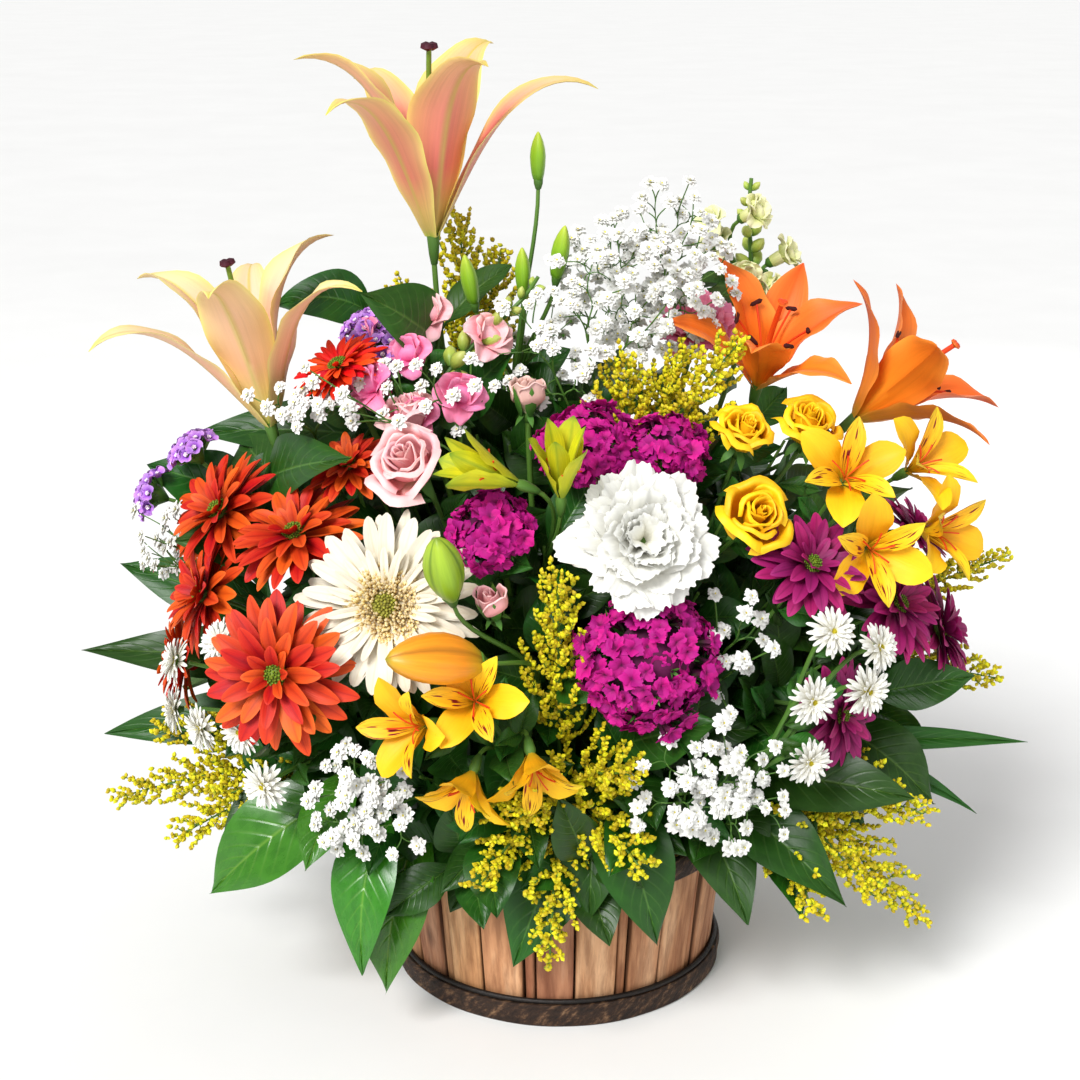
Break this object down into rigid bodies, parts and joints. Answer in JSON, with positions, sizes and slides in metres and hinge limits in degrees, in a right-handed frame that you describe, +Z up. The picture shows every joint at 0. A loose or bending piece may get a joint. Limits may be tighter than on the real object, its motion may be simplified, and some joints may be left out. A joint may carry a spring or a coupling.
{
  "type": "flower basket arrangement",
  "caption": "Round basket of wooden staves holding wet foam and a dome of mixed cut flowers, plumes and leaves, with tall lilies above.",
  "frame": {"origin": "centre of the basket's flat underside, on the surface it stands on", "axes": "+Z up; -Y towards the viewer, where the white gerbera faces; +X to the viewer's right"},
  "size_m": [0.562, 0.3584, 0.5462],
  "materials": {
    "wood": "satin",
    "bark": "matte",
    "liner": "satin",
    "foam": "matte",
    "foliage": "satin",
    "peach": "matte",
    "orange": "matte",
    "bud": "matte",
    "cream": "matte",
    "white": "matte",
    "scarlet": "matte",
    "rust": "matte",
    "plum": "matte",
    "magenta": "matte",
    "pink": "matte",
    "rose_pale": "matte",
    "hot_pink": "matte",
    "yellow": "matte",
    "lime": "matte",
    "lilac": "matte",
    "pale_green": "matte",
    "goldenrod": "matte",
    "bud_green": "matte"
  },
  "bodies": {
    "root": {"stave_wall": "wood", "base_board": "wood", "base_hoop": "bark", "rim_hoop": "bark", "liner": "liner", "lily_top": "peach", "lily_left": "peach", "lilies_orange": "orange", "lily_buds": "bud", "gerbera_white": "cream", "gerbera_red": "scarlet", "carnation_white": "white", "carnation_pink": "hot_pink", "carnation_back": "hot_pink", "sweet_william_top": "magenta", "sweet_william_right": "magenta", "sweet_william_left": "magenta", "sweet_william_front": "magenta", "mums_red_high": "rust", "mums_red_low": "rust", "mum_red_front": "rust", "mums_plum_inner": "plum", "mums_plum_outer": "plum", "mum_red_back": "rust", "mum_plum_back": "plum", "roses_pink": "pink", "rose_pale": "rose_pale", "roses_yellow": "yellow", "alstroemeria_lime": "lime", "alstroemeria_yellow_right": "yellow", "alstroemeria_yellow_low": "yellow", "mums_white_left": "white", "mums_white_right": "white", "mums_white_back": "white", "snapdragon_pink": "hot_pink", "snapdragon_white": "pale_green", "statice": "lilac", "lisianthus_buds": "bud_green", "gypsophila_top": "white", "gypsophila_left": "white", "gypsophila_low_left": "white", "gypsophila_low_right": "white", "gypsophila_back": "white", "goldenrod_front": "goldenrod", "goldenrod_left": "goldenrod", "goldenrod_top": "goldenrod", "goldenrod_high": "goldenrod", "goldenrod_right": "goldenrod", "goldenrod_edge": "goldenrod", "leaves_top_left": "foliage", "leaves_left": "foliage", "leaves_low_left": "foliage", "leaves_front": "foliage", "leaves_upper_left": "foliage", "leaves_low_right": "foliage", "leaves_right": "foliage", "leaves_back_left": "foliage", "leaves_back_right": "foliage", "leaves_back": "foliage", "foam": "foam"}
  },
  "joints": []
}
